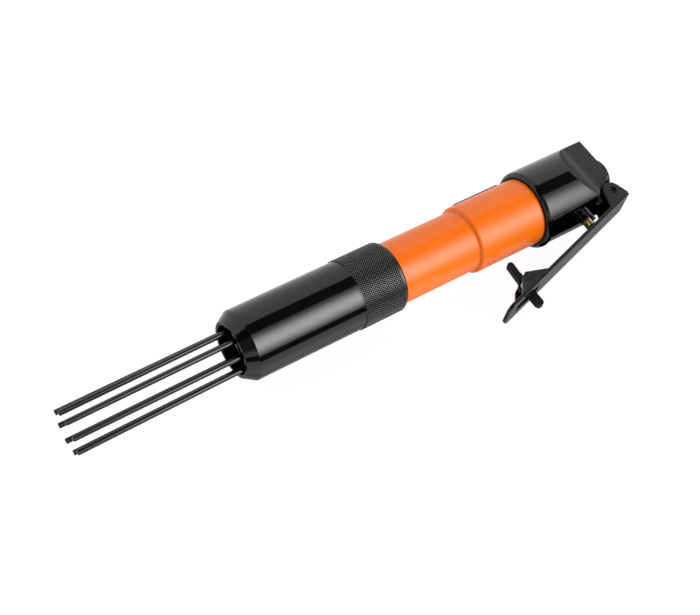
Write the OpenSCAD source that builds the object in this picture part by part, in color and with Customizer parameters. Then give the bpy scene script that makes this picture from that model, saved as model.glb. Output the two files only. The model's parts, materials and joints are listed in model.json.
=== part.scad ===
// Needle scaler: an air hammer that drives a bundle of steel needles.
// The tool's axis is X, with the needles towards -X and the air inlet at the origin, facing +X.
// The tool lies on a bench: Z is up, and the lever points sideways and a little down.

/* [Nozzle and grip] */
// Outer diameter of the nozzle tube
nozzle_d = 40; // [38:0.5:42]
// Length of the nozzle tube, from its front face to the grip
nozzle_len = 71.3; // [60:0.1:90]
// Drop from the tube to the nozzle's front rim, all round
nose_drop = 4; // [2:0.1:4.5]
// Length of the taper behind the rim
nose_taper_len = 6.3; // [3:0.1:7]
// Room for the needles in the nozzle's opening
needle_room = 2.8; // [2.6:0.1:3.4]
// Thickness of the nose behind the front face
nose_lip_len = 7.7; // [5:0.1:12]
// Wall of the nozzle tube
housing_wall = 4; // [3.5:0.1:4]
// Rise of the knurled grip above the nozzle tube
grip_rise = 0.5; // [0.3:0.1:2]
// Length of the knurled grip
grip_len = 28.6; // [24:0.1:40]
// Bevel on the rear edge of the grip
grip_bevel = 1.2; // [0.5:0.1:2]

/* [Needles] */
// Diameter of a needle
needle_d = 3; // [2:0.1:3.2]
// Length of a needle behind which its head starts
needle_len = 172; // [150:1:180]
// Diameter of a needle's head
needle_head_d = 4.8; // [4.2:0.1:4.9]
// Length of a needle's head
needle_head_len = 3; // [2:0.1:4]
// Distance of the needles from the nozzle's bore
needle_inset = 4.8; // [4.8:0.1:5.6]
// Turn of the ring of needles about the axis
needle_phase = 21; // [0:1:44]
// Droop of the needles at their tips
needle_droop = 2.2; // [0:0.1:2.4]
// Play of a needle along its hole
needle_float = 1.2; // [0.5:0.1:2]

/* [Needle holder and its spring] */
// Thickness of the plate that the needles hang in
holder_floor = 8; // [5:0.5:12]
// Wall of the holder's cup
holder_wall = 1.9; // [1.5:0.1:2]
// Wire of the needle spring
needle_wire_d = 1.6; // [1.4:0.1:1.8]
// Number of turns of the needle spring
needle_spring_turns = 9; // [6:1:12]

/* [Anvil] */
// Diameter of the anvil's shank
anvil_d = 16; // [12:0.5:17]
// Length of the anvil's flange
anvil_flange_len = 4; // [3:0.5:6]
// Length of shank that stands in the bore for the piston to strike
anvil_nose_len = 5; // [3:0.5:10]
// Travel of the anvil when it is struck
anvil_travel = 1.2; // [0.5:0.1:2]
// Length of the bush that guides the anvil
bush_len = 20; // [14:0.5:30]
// Wall of the bush
bush_wall = 2; // [1.5:0.1:2.5]

/* [Barrel] */
// Diameter of the barrel's slim front part
barrel_front_d = 36; // [34:0.5:38]
// Length of the slim part in view
barrel_front_len = 53.7; // [48:0.1:70]
// Diameter of the barrel's rear part
barrel_rear_d = 40; // [39:0.5:41]
// Length of the rear part in view
barrel_rear_len = 42.7; // [42:0.1:60]
// Length of the rounded step between the two
barrel_step_len = 3; // [2:0.1:5]
// Bore that the piston runs in
bore_d = 22; // [20:0.5:24]
// Length of the front thread
front_thread_len = 12; // [8:0.5:16]
// Diameter of the rear thread
rear_thread_d = 36; // [35:0.5:37]
// Length of the rear thread
rear_thread_len = 10; // [8:0.5:11]

/* [Piston and its valve] */
// Length of the piston
piston_len = 42; // [30:0.5:50]
// Thickness of the valve's front plate
seat_len = 3; // [2:0.1:3.5]
// Thickness of the valve's rear plate
cage_len = 4.6; // [4.2:0.1:5]
// Diameter of the valve disc
disc_d = 19.4; // [16:0.1:20]
// Thickness of the valve disc
disc_len = 0.8; // [0.5:0.1:1]
// Lift of the valve disc
disc_lift = 0.6; // [0.3:0.1:0.8]

/* [Head] */
// Diameter of the head
head_d = 47; // [46:0.5:50]
// Length of the head, without the inlet's boss
head_len = 55.4; // [55:0.1:61]
// Length of the full ring at the head's front
lip_len = 3.5; // [3.4:0.1:6]
// Rounding of the front ring
lip_round = 3; // [1:0.1:3]
// How far the ring covers the barrel
lip_cover = 2; // [1.5:0.1:2.4]
// Distance of the lever's flat from the axis
flat_drop = 19.6; // [19.4:0.1:21]
// Length of the side flats at the rear, with their slanted run-outs
side_flat_len = 28.3; // [22:0.1:29]
// Distance of the side flats from the axis
side_flat_half_w = 13.7; // [13:0.1:18]
// Slope of the run-outs
side_flat_slope = 37; // [30:1:60]

/* [Throttle] */
// Distance of the plunger from the head's rear face
plunger_setback = 24.4; // [24:0.1:25]
// Diameter of the brass plunger
plunger_d = 6; // [5:0.1:6.2]
// Diameter of the boss that guides the plunger
guide_boss_d = 7.2; // [6.8:0.1:7.3]
// Height of the boss above the flat
guide_boss_len = 4; // [3:0.1:4.4]
// Diameter of the valve ball
ball_d = 9; // [8:0.1:9.5]
// Diameter of the seat under the ball
ball_seat_d = 6.5; // [6:0.1:7]
// Distance of the seat from the axis, towards the lever
ball_seat_drop = 6; // [5:0.1:7]
// Diameter of the valve chamber
chamber_d = 12; // [11:0.1:12.5]
// Thread diameter of the chamber's plug
plug_d = 16; // [15:0.1:18]
// Length of the chamber's plug
plug_len = 8; // [6:0.1:9]
// Distance of the stop pin behind the plunger
stop_setback = 5; // [4.8:0.1:6]
// Diameter of the lever's stop pin
stop_pin_d = 2.5; // [2:0.1:3]

/* [Lever] */
// Width of the lever
lever_w = 18; // [17:0.5:19]
// Thickness of the lever's plate
lever_t = 2.2; // [1.5:0.1:2.5]
// Length of the lever from its pin to its tip
lever_len = 112.3; // [110:0.1:120]
// Angle between the lever and the axis at rest
lever_open = 15.2; // [14.8:0.1:16]
// Angle through which the lever is pressed
lever_press = 9; // [6:0.5:9]
// Distance of the lever's pin from the axis
hinge_drop = 16.8; // [16.6:0.1:17.4]
// Distance of the lever's pin in front of the head's rear face
hinge_setback = 2.5; // [2:0.1:3]
// Diameter of the lever's pin
hinge_pin_d = 4; // [3:0.1:5]
// Radius of the ears round the pin
ear_r = 6; // [5.4:0.1:6.2]
// Thickness of an ear
ear_t = 2.7; // [2:0.1:3]
// Distance of the plate from the pin
plate_drop = 6.4; // [6.2:0.1:7]
// Rounding of the tip's corners
tip_round = 5; // [2:0.1:7]

/* [Safety catch] */
// Distance of the catch's pin from the lever's tip, along the lever
catch_setback = 25; // [22.5:0.1:27]
// Height of the catch's pin above the plate
catch_lift = 3.4; // [3:0.1:4]
// Diameter of the catch's pin
catch_pin_d = 3; // [2.5:0.1:3.2]
// Width of the catch with its spring
catch_w = 6; // [5.8:0.1:8]
// Thickness of the catch's arms
catch_t = 3.4; // [3:0.1:5]
// Length of the arm that stops against the barrel
catch_stop_len = 15.4; // [12:0.1:16]
// Lean of that arm towards the lever's pin
catch_stop_lean = 19; // [10:1:25]
// Length of the finger tab
catch_tab_len = 12; // [9:0.1:12.5]
// Lean of the finger tab towards the lever's tip
catch_tab_lean = 14; // [5:1:20]
// Wire of the catch's spring
catch_wire_d = 0.8; // [0.6:0.1:0.8]

/* [Air inlet] */
// Tapping diameter of the quarter-inch air thread
inlet_d = 11.8; // [11:0.1:12]
// Depth of the air thread
inlet_depth = 12; // [10:0.5:13]
// Diameter of the boss round the inlet
inlet_boss_d = 21; // [18:0.5:21]
// Length of the boss
inlet_boss_len = 5; // [3:0.1:7]

/* [Exhaust] */
// Length of the exhaust cover
cover_len = 31; // [26:0.5:34]
// Width of the exhaust cover
cover_w = 17; // [14:0.5:18]
// Depth of the pocket under the cover
pocket_depth = 4.6; // [4:0.1:5]

/* [Pose] */
// Roll of the tool as it lies, from lever down to lever sideways
lie_roll = 74; // [0:1:90]

/* [Hidden] */
$fn = 96;

needle_count = 8;

// Clearances
slide_gap = 0.04;
thread_gap = 0.05;
loose_gap = 0.3;
seat_gap = 0.1;
ring_play = 0.2;
through = 1;

// Steps of rounded edges and coils
quarter_steps = 6;
quarter = [for (i = [0:quarter_steps]) 90 * i / quarter_steps];
round_steps = 12;
coil_steps = 12;
coil_end_gap = 0.5;

// Stations along the axis
x_head_rear = -inlet_boss_len;
x_head_front = x_head_rear - head_len;
x_step = x_head_front - barrel_rear_len;
x_grip_rear = x_step - barrel_front_len;
x_grip_front = x_grip_rear - grip_len;
x_nose = x_grip_front - nozzle_len;
x_spring_seat = x_nose + nose_lip_len;
x_barrel_front = x_grip_rear - front_thread_len;
x_bore_front = x_barrel_front + bush_len;
x_lip_seat = x_head_front + lip_cover;
x_barrel_rear = x_lip_seat + rear_thread_len;
x_socket = x_barrel_rear + seat_len + cage_len;
x_plunger = x_head_rear - plunger_setback;
x_stop = x_plunger + stop_setback;
x_hinge = x_head_rear - hinge_setback;

// Nozzle and grip: the bore, the rim and the ring of needles in the opening
housing_bore_d = nozzle_d - 2 * housing_wall;
nose_d = nozzle_d - 2 * nose_drop;
grip_d = nozzle_d + 2 * grip_rise;
needle_ring_d = housing_bore_d - 2 * needle_inset;
nose_opening_d = needle_ring_d + needle_d + needle_room;

// Needle holder: the cup holds the anvil's flange and the needles' heads
holder_r = housing_bore_d / 2 - slide_gap;
cup_r = holder_r - holder_wall;
cup_depth = anvil_flange_len + anvil_travel + needle_float + needle_head_len + 2 * seat_gap;
x_cup = x_barrel_front - cup_depth;
x_holder_front = x_cup - holder_floor;
needle_hole_d = needle_d + 2 * loose_gap;
// Splay of each needle at its tip, outwards from the axis
needle_splay = [0.6, -0.4, 0.5, -0.6, 0.9, 0.6, 0.2, -0.5];

// The seal in a groove of the barrel's front thread
housing_ring_d = 1.4;
housing_ring_setback = 2.5;
x_housing_ring = x_grip_rear - housing_ring_setback;
housing_ring_r = housing_bore_d / 2 - thread_gap - housing_ring_d / 2;

// Needle spring
spring_d = housing_bore_d - needle_wire_d - 2 * loose_gap;
spring_room = x_holder_front - x_spring_seat;

// Anvil and piston
anvil_flange_r = cup_r - 2 * loose_gap;
anvil_bevel = 1;
x_anvil_front = x_barrel_front - anvil_flange_len - seat_gap;
x_anvil_flange = x_barrel_front - seat_gap;
anvil_bore_d = anvil_d + 2 * slide_gap;
bush_d = anvil_bore_d + 2 * bush_wall;
x_anvil_rear = x_bore_front + anvil_nose_len;
piston_d = bore_d - 2 * slide_gap;
x_piston_front = x_anvil_rear + loose_gap;
x_piston_rear = x_piston_front + piston_len;
piston_groove = 0.8;
piston_groove_w = 1.4;
piston_groove_count = 3;
piston_bevel = 1;

// The rounded step between the barrel's two diameters
step_rise = (barrel_rear_d - barrel_front_d) / 2;
step_points = [for (a = quarter)
    [barrel_front_d / 2 + step_rise * sin(a), x_step - barrel_step_len * cos(a)]];

// Distribution valve
stack_gap = 0.2;
stack_r = rear_thread_d / 2 - stack_gap;
disc_room_r = disc_d / 2 + loose_gap;
disc_room = disc_len + disc_lift + 2 * seat_gap;
seat_port_d = 8;
feed_port_d = 3;
feed_ring_r = 6;
feed_count = 6;
feed_chamber_r = feed_ring_r + feed_port_d;
feed_chamber_len = 1.5;
dowel_d = 2;
dowel_sink = 4;
dowel_short = 1;
dowel_len = seat_len + cage_len - dowel_short + dowel_sink;
x_dowel = x_barrel_rear - dowel_sink;
x_disc = x_barrel_rear + seat_len + seat_gap;
passage_d = 2.6;
passage_r = (bore_d / 2 + min(barrel_front_d, rear_thread_d) / 2) / 2;
passage_angle = 90;
x_passage = x_bore_front + through;
dowel_angle = -90;
valve_ring_d = 1.6;
valve_ring_setback = 1.4;
valve_ring_r = stack_r - valve_ring_d / 2;
x_valve_ring = x_socket - valve_ring_setback;

// Exhaust
cover_shift = 1.5;
x_cover = x_head_front - barrel_rear_len / 2 - cover_shift;
felt_len = 1.6;
port_d = 4;
port_pitch = 6;
port_count = 3;
cover_proud = 0.6;
vent_w = 1.6;
vent_margin = 2.5;
cover_screw_d = 2.5;
cover_screw_head_d = 4.4;
cover_screw_head_len = 1.4;
cover_screw_len = 5;
cover_screw_inset = 3.4;
cover_screw_sink = 0.4;
cover_screw_hex = 2;
cover_screw_hex_depth = 0.8;
pocket_z = barrel_rear_d / 2 - pocket_depth;
cover_top_z = barrel_rear_d / 2 + cover_proud;
cover_screw_z = cover_top_z - cover_screw_head_len - cover_screw_sink;
felt_inset = 2 * cover_screw_inset;

// The head's rounded front edge
head_rear_bevel = 1;
lip_points = [for (a = quarter)
    [head_d / 2 - lip_round * (1 - sin(a)), x_head_front + lip_round * (1 - cos(a))]];

// Throttle, with the lever straight down
guide_d = plunger_d + 2 * slide_gap;
ball_z = -ball_seat_drop + sqrt(pow(ball_d / 2, 2) - pow(ball_seat_d / 2, 2)) + seat_gap;
neck_d = 3.6;
neck_bevel = 0.3;
neck_top_z = ball_z - ball_d / 2 - seat_gap;
seat_bore_len = 7.2;
shoulder_z = -ball_seat_drop - seat_bore_len;
plug_bottom_z = 12;
dome_flatness = 0.7;
dome_steps = 8;
dome_r = plunger_d / 2 + dome_flatness;
dome_angle = asin(plunger_d / 2 / dome_r);
plate_at_plunger = (x_hinge - x_plunger) * tan(lever_open) + plate_drop / cos(lever_open);
plunger_tip_z = -(hinge_drop + plate_at_plunger - dome_r * (1 / cos(lever_open) - 1) - seat_gap);
pressed = lever_open - lever_press;
plate_at_stop = (x_hinge - x_stop) * tan(pressed) + plate_drop / cos(pressed);
stop_tip_z = -(hinge_drop + plate_at_stop - loose_gap - stop_pin_d / 2 * tan(pressed));
stop_depth = 7;
feed_bore_d = 4.5;
feed_bore_drop = 4.6;
feed_bore_z = -(ball_seat_drop + feed_bore_drop);
inlet_passage_d = 8;
plunger_ring_d = 1.3;
plunger_ring_setback = 1.6;
plunger_ring_wall = 0.6;
plunger_ring_z = -(flat_drop - plunger_ring_setback);
plunger_top_z = plunger_ring_z + (plunger_ring_d + ring_play) / 2 + plunger_ring_wall;
plug_ring_d = 1.6;
plug_ring_setback = 1.6;
plug_ring_z = plug_bottom_z + plug_ring_setback;
plug_fit_d = plug_d - 2 * thread_gap;
plug_hex = 6;
plug_hex_depth = 4;
valve_wire_d = 0.9;
valve_spring_d = 6.2;
valve_spring_turns = 5;
valve_spring_z = ball_z + sqrt(pow(ball_d / 2, 2) - pow(valve_spring_d / 2, 2));

// Lever, in its own frame: u runs from the pin to the tip, w points away from the barrel
lug_w = lever_w - 2 * ear_t - 2 * loose_gap;
relief_r = 31;
relief_setback = 10.5;
relief_drop = 21.7;
lug_r = ear_r - 0.6;
lug_reach = 9.8;
lug_rise = 7.8;
plate_rear = 6.6;
plate_outer = plate_drop + lever_t;
ear_foot = 11;
ear_steps = 18;
ear_turn = atan2(plate_drop, ear_foot) - acos(ear_r / norm([ear_foot, plate_drop]));
gusset_t = 2.2;
gusset_over_pin = 4.2;
gusset_w = plate_drop - catch_lift - gusset_over_pin;
gusset_points = [[-12.8, plate_drop], [-1, gusset_w], [2.4, gusset_w + 0.8], [11.6, plate_drop]];
catch_reach = lever_len - catch_setback;
catch_w_pos = plate_drop - catch_lift;
catch_hub_r = 4;
catch_arm_r = 2;
catch_tab_r = 2.5;
slot_side_gap = 0.7;
slot_end_gap = 0.6;
slot_swing_gap = 1.8;
slot_w = catch_w + 2 * slot_side_gap;
slot_rear = catch_reach - catch_hub_r - slot_end_gap;
slot_front = catch_reach + catch_tab_len + catch_tab_r + slot_swing_gap;
catch_hub_side = -1.4;
catch_spring_turns = 2.5;
catch_coil_play = 0.25;
catch_coil_gap = 0.45;
catch_coil_r = catch_arm_r + catch_wire_d / 2 + catch_coil_play;
catch_coil_pitch = catch_wire_d + catch_coil_gap;
spring_pocket_r = catch_coil_r + catch_wire_d / 2 + loose_gap;
catch_leg_len = 9;
catch_stop_end = -catch_stop_len * [sin(catch_stop_lean), cos(catch_stop_lean)];
catch_tab_end = catch_tab_len * [sin(catch_tab_lean), cos(catch_tab_lean)];

// The catch's spring: one leg lies on the plate, the other behind the arm
catch_arm_dir = catch_stop_end / catch_stop_len;
catch_leg_start = catch_coil_r * [catch_arm_dir[1], -catch_arm_dir[0]];
catch_spring_start = catch_hub_side + catch_wire_d / 2 + loose_gap;
catch_turn_from = atan2(catch_leg_start[1], catch_leg_start[0]);
catch_turn = 90 - catch_turn_from + 360 * floor(catch_spring_turns);
catch_spring_steps = floor(catch_spring_turns) * coil_steps + coil_steps / 2;
catch_spring_path = concat(
    [concat(catch_leg_start + catch_leg_len * catch_arm_dir, catch_spring_start)],
    [for (i = [0:catch_spring_steps])
        let(turn = catch_turn * i / catch_spring_steps, a = catch_turn_from + turn)
        [catch_coil_r * cos(a), catch_coil_r * sin(a), catch_spring_start + catch_coil_pitch * turn / 360]],
    [[-catch_leg_len, catch_coil_r, catch_spring_start + catch_coil_pitch * catch_turn / 360]]
);

// Inlet
bush_shank_d = 16;
bush_floor = 2;
bush_shank_len = inlet_depth + bush_floor;
inlet_round = 2;
boss_points = [for (a = quarter)
    [inlet_boss_d / 2 - inlet_round * (1 - cos(a)), -inlet_round * (1 - sin(a))]];
strainer_gap = 0.6;
thread_relief = 0.3;
strainer_len = 1.2;
x_strainer = -(inlet_depth + strainer_gap + strainer_len);
strainer_hole_d = 1;
strainer_pitch = 1.7;
strainer_rows = 2;
strainer_reach = 4;

black = "#18191b";
dark_steel = "#303234";
steel = "#a9adb2";
brass = "#c9a24a";
bronze = "#a7774a";
orange = "#d8521c";
rubber = "#151515";
felt = "#4a4a46";

// A turned piece: points are [radius, station along X]
module turned(points) rotate([0, 90, 0]) rotate_extrude() polygon(points);

// A round bar or hole along X
module bar_x(d, from, to) translate([from, 0, 0]) rotate([0, 90, 0]) cylinder(d = d, h = to - from);

// A seal ring round the X axis
module ring_x(ring_r, d, x) translate([x, 0, 0]) rotate([0, 90, 0]) ring(ring_r, d);
module ring(ring_r, d) rotate_extrude() translate([ring_r, 0]) circle(d = d, $fn = 32);

// The groove that a seal lies in, round Z, cut down to the radius floor_r
module ring_groove(d, outer_d, floor_r) difference() {
    cylinder(d = outer_d + through, h = d + ring_play, center = true);
    cylinder(r = floor_r, h = d + ring_play + through, center = true);
}

// The tool's roll: pieces below are drawn with the lever straight down
module lying() rotate([-lie_roll, 0, 0]) children();

// The lever's frame: the plane of u and w, drawn as x and y, with the thickness along the pin
module lever_frame() lying()
    translate([x_hinge, 0, -hinge_drop]) rotate([0, -lever_open, 0]) rotate([-90, 0, 180]) children();

// A plate in the lever's frame, between two places along the pin
module lever_slab(from, to) translate([0, 0, from]) linear_extrude(height = to - from) children();

// Outline of a flat bar with round ends
function bar_outline(a, b, r) = let(d = b - a, turn = atan2(d[1], d[0])) concat(
    [for (i = [0:round_steps]) let(t = turn - 90 + 180 * i / round_steps) b + r * [cos(t), sin(t)]],
    [for (i = [0:round_steps]) let(t = turn + 90 + 180 * i / round_steps) a + r * [cos(t), sin(t)]]
);

// Wire swept along a path that winds round an axis
function wire_ring(path, i, axis, r, sides) = let(
    ahead = path[min(i + 1, len(path) - 1)] - path[max(i - 1, 0)],
    t = ahead / norm(ahead),
    lift = axis - (axis * t) * t,
    b = lift / norm(lift),
    n = cross(t, b)
) [for (k = [0:sides - 1]) path[i] + r * (cos(360 * k / sides) * n + sin(360 * k / sides) * b)];

module wire(path, axis, d, sides = 6) {
    last = len(path) - 1;
    points = [for (i = [0:last]) each wire_ring(path, i, axis, d / 2, sides)];
    faces = concat(
        [for (i = [0:last - 1], k = [0:sides - 1]) let(j = (k + 1) % sides)
            each [[i * sides + k, i * sides + j, (i + 1) * sides + k],
                  [i * sides + j, (i + 1) * sides + j, (i + 1) * sides + k]]],
        [for (k = [1:sides - 2]) [0, k + 1, k]],
        [for (k = [1:sides - 2]) [last * sides, last * sides + k, last * sides + k + 1]]
    );
    polyhedron(points, faces);
}

// A compression spring along Z, whose end turns lie close
function coil_height(turn, turns, room, d) =
    let(close = d + coil_end_gap, open = (room - 2 * close) / (turns - 2))
    turn < 1 ? turn * close : turn < turns - 1 ? close + (turn - 1) * open : room - (turns - turn) * close;
function coil_path(coil_d, d, room, turns) = [for (i = [0:turns * coil_steps]) let(a = 360 * i / coil_steps)
    [coil_d / 2 * cos(a), coil_d / 2 * sin(a),
     d / 2 + seat_gap + coil_height(i / coil_steps, turns, room - d - 2 * seat_gap, d)]];
// Least gap between two turns
function coil_gap(path, d) = let(last = len(path) - 1, apart = coil_steps / 2)
    min([for (i = [0:last - apart], j = [i + apart:last]) norm(path[i] - path[j])]) - d;
module coil(coil_d, d, room, turns) {
    path = coil_path(coil_d, d, room, turns);
    echo(least_coil_gap = coil_gap(path, d));
    wire(path, [0, 0, 1], d);
}

module front_housing() color(black) turned([
    [nose_opening_d / 2, x_nose], [nose_d / 2, x_nose],
    [nozzle_d / 2, x_nose + nose_taper_len], [nozzle_d / 2, x_grip_front],
    [grip_d / 2, x_grip_front], [grip_d / 2, x_grip_rear - grip_bevel],
    [grip_d / 2 - grip_bevel, x_grip_rear], [housing_bore_d / 2, x_grip_rear],
    [housing_bore_d / 2, x_spring_seat], [nose_opening_d / 2, x_spring_seat]
]);

module housing_o_ring() color(rubber) ring_x(housing_ring_r, housing_ring_d, x_housing_ring);

module needle(i) {
    a = needle_phase + 360 * i / needle_count;
    out = [cos(a), sin(a)];
    lean = needle_splay[i] * out + [0, -needle_droop];
    color(dark_steel)
    translate([x_cup + seat_gap, needle_ring_d / 2 * out[0], needle_ring_d / 2 * out[1]])
    rotate([0, asin(lean[1] / needle_len), -asin(lean[0] / needle_len)])
    rotate([0, -90, 0]) {
        cylinder(d = needle_d, h = needle_len, $fn = 32);
        translate([0, 0, -needle_head_len]) cylinder(d = needle_head_d, h = needle_head_len, $fn = 32);
    }
}

module needle_holder() color(steel) difference() {
    turned([[0, x_holder_front], [holder_r, x_holder_front], [holder_r, x_barrel_front],
            [cup_r, x_barrel_front], [cup_r, x_cup], [0, x_cup]]);
    for (i = [0:needle_count - 1]) rotate([needle_phase + 360 * i / needle_count, 0, 0])
        translate([0, needle_ring_d / 2, 0])
            bar_x(needle_hole_d, x_holder_front - through, x_cup + through, $fn = 32);
}

module needle_spring() color(steel) translate([x_spring_seat, 0, 0]) rotate([0, 90, 0])
    coil(spring_d, needle_wire_d, spring_room, needle_spring_turns);

module anvil() color(steel) turned([
    [0, x_anvil_front], [anvil_flange_r - anvil_bevel, x_anvil_front],
    [anvil_flange_r, x_anvil_front + anvil_bevel], [anvil_flange_r, x_anvil_flange],
    [anvil_d / 2, x_anvil_flange], [anvil_d / 2, x_anvil_rear - anvil_bevel],
    [anvil_d / 2 - anvil_bevel, x_anvil_rear], [0, x_anvil_rear]
]);

module anvil_bush() color(bronze) difference() {
    bar_x(bush_d, x_barrel_front, x_bore_front);
    bar_x(anvil_bore_d, x_barrel_front - through, x_bore_front + through);
}

module barrel() color(orange) difference() {
    turned(concat(
        [[bush_d / 2, x_barrel_front], [housing_bore_d / 2 - thread_gap, x_barrel_front],
         [housing_bore_d / 2 - thread_gap, x_grip_rear], [barrel_front_d / 2, x_grip_rear]],
        step_points,
        [[barrel_rear_d / 2, x_lip_seat], [rear_thread_d / 2 - thread_gap, x_lip_seat],
         [rear_thread_d / 2 - thread_gap, x_barrel_rear], [bore_d / 2, x_barrel_rear],
         [bore_d / 2, x_bore_front], [bush_d / 2, x_bore_front]]
    ));
    translate([x_housing_ring, 0, 0]) rotate([0, 90, 0])
        ring_groove(housing_ring_d, housing_bore_d, housing_ring_r - housing_ring_d / 2);
    lying() {
        rotate([passage_angle, 0, 0]) {
            translate([0, 0, passage_r]) bar_x(passage_d, x_passage, x_barrel_rear + through);
            translate([x_passage + passage_d / 2, 0, 0]) cylinder(d = passage_d, h = passage_r);
        }
        translate([x_cover - cover_len / 2, -cover_w / 2, pocket_z])
            cube([cover_len, cover_w, pocket_depth + through]);
        for (i = [0:port_count - 1]) translate([x_cover + (i - (port_count - 1) / 2) * port_pitch, 0, 0])
            cylinder(d = port_d, h = barrel_rear_d / 2);
        cover_screw_places() cover_screw_shank(cover_screw_d);
    }
    dowel_bar();
}

// The screws' heads sink in the cover
module cover_screw_places() for (side = [-1, 1])
    translate([x_cover + side * (cover_len / 2 - cover_screw_inset), 0, cover_screw_z]) children();

module cover_screw_shank(d) translate([0, 0, -cover_screw_len])
    cylinder(d = d, h = cover_screw_len, $fn = 32);

module exhaust_felt() color(felt) lying()
    translate([x_cover - cover_len / 2 + felt_inset, -cover_w / 2 + seat_gap, pocket_z])
        cube([cover_len - 2 * felt_inset, cover_w - 2 * seat_gap, felt_len]);

module exhaust_cover() color(black) lying() difference() {
    intersection() {
        translate([x_cover - cover_len / 2 + seat_gap, -cover_w / 2 + seat_gap, pocket_z])
            cube([cover_len - 2 * seat_gap, cover_w - 2 * seat_gap, pocket_depth + through]);
        bar_x(2 * cover_top_z, x_cover - cover_len, x_cover + cover_len);
    }
    translate([x_cover - cover_len / 2 + felt_inset - seat_gap, -cover_w / 2, pocket_z - through])
        cube([cover_len - 2 * felt_inset + 2 * seat_gap, cover_w, felt_len + through + seat_gap]);
    for (i = [-1:1]) translate([x_cover + i * port_pitch - vent_w / 2, -cover_w / 2 + vent_margin, pocket_z])
        cube([vent_w, cover_w - 2 * vent_margin, pocket_depth + 2 * through]);
    cover_screw_places() {
        cover_screw_shank(cover_screw_d + 2 * seat_gap);
        cylinder(d = cover_screw_head_d + 2 * seat_gap, h = cover_screw_len, $fn = 32);
    }
}

module cover_screws() color(steel) lying() cover_screw_places() difference() {
    union() {
        cover_screw_shank(cover_screw_d);
        cylinder(d = cover_screw_head_d, h = cover_screw_head_len, $fn = 32);
    }
    translate([0, 0, cover_screw_head_len - cover_screw_hex_depth])
        cylinder(d = cover_screw_hex / cos(30), h = through, $fn = 6);
}

module piston() color(steel) difference() {
    turned([[0, x_piston_front], [piston_d / 2 - piston_bevel, x_piston_front],
            [piston_d / 2, x_piston_front + piston_bevel], [piston_d / 2, x_piston_rear - piston_bevel],
            [piston_d / 2 - piston_bevel, x_piston_rear], [0, x_piston_rear]]);
    for (i = [1:piston_groove_count])
        translate([x_piston_front + piston_len * i / (piston_groove_count + 1), 0, 0]) rotate([0, 90, 0])
            ring_groove(piston_groove_w, piston_d, piston_d / 2 - piston_groove);
}

module dowel_bar() lying() rotate([dowel_angle, 0, 0]) translate([0, 0, passage_r])
    bar_x(dowel_d, x_dowel, x_dowel + dowel_len);

module valve_dowel() color(steel) dowel_bar();

module valve_seat() color(steel) difference() {
    bar_x(2 * stack_r, x_barrel_rear, x_barrel_rear + seat_len);
    bar_x(seat_port_d, x_barrel_rear - through, x_barrel_rear + seat_len + through);
    lying() rotate([passage_angle, 0, 0]) translate([0, 0, passage_r])
        bar_x(passage_d, x_barrel_rear - through, x_barrel_rear + seat_len + through);
    dowel_bar();
}

module valve_disc() color(steel) bar_x(disc_d, x_disc, x_disc + disc_len);

module valve_o_ring() color(rubber) ring_x(valve_ring_r, valve_ring_d, x_valve_ring);

module valve_cage() color(steel) difference() {
    bar_x(2 * stack_r, x_barrel_rear + seat_len, x_socket);
    bar_x(2 * disc_room_r, x_barrel_rear + seat_len - through, x_barrel_rear + seat_len + disc_room);
    for (i = [0:feed_count - 1]) rotate([360 * i / feed_count, 0, 0]) translate([0, feed_ring_r, 0])
        bar_x(feed_port_d, x_barrel_rear + seat_len, x_socket + through, $fn = 32);
    translate([x_valve_ring, 0, 0]) rotate([0, 90, 0])
        ring_groove(valve_ring_d, 2 * stack_r, stack_r - valve_ring_d);
    dowel_bar();
}

module head() color(black) difference() {
    union() {
        difference() {
            turned(concat(
                [[rear_thread_d / 2, x_lip_seat], [barrel_rear_d / 2 + loose_gap, x_lip_seat],
                 [barrel_rear_d / 2 + loose_gap, x_head_front]],
                lip_points,
                [[head_d / 2, x_head_rear - head_rear_bevel], [head_d / 2 - head_rear_bevel, x_head_rear],
                 [0, x_head_rear], [0, x_socket], [rear_thread_d / 2, x_socket]]
            ));
            lying() {
                head_flat();
                side_flats();
                ear_relief();
            }
        }
        lying() {
            hinge_lug();
            translate([x_plunger, 0, -flat_drop - guide_boss_len])
                cylinder(d = guide_boss_d, h = guide_boss_len + through);
        }
    }
    lying() {
        throttle_bores();
        hinge_bar();
        translate([x_stop, 0, -flat_drop - through])
            cylinder(d = stop_pin_d, h = stop_depth + through, $fn = 32);
    }
    bar_x(2 * feed_chamber_r, x_socket - through, x_socket + feed_chamber_len);
    bar_x(inlet_passage_d, x_plunger, x_head_rear);
    bar_x(bush_shank_d, x_head_rear - bush_shank_len, x_head_rear + through);
}

// The flat under the lever
module head_flat() translate([x_head_front + lip_len, -head_d / 2, -flat_drop - head_d])
    cube([head_len, head_d, head_d]);

// The flats on both sides of the rear, each with a slanted run-out in front
module side_flats() {
    x_from = x_head_rear - side_flat_len;
    x_level = x_from + (head_d / 2 - side_flat_half_w) / tan(side_flat_slope);
    x_past = x_from - head_d / 2 / tan(side_flat_slope);
    for (side = [0, 1]) mirror([0, side, 0]) translate([0, 0, -head_d]) linear_extrude(height = 2 * head_d)
        polygon([[x_level, side_flat_half_w], [x_head_rear + through, side_flat_half_w],
                 [x_head_rear + through, head_d], [x_past, head_d]]);
}

// Room for the lever's ears beside the lug
module ear_relief() for (side = [0, 1]) mirror([0, side, 0])
    translate([x_hinge + relief_setback, lug_w / 2, -hinge_drop - relief_drop]) rotate([-90, 0, 0])
        cylinder(r = relief_r, h = head_d);

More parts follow.
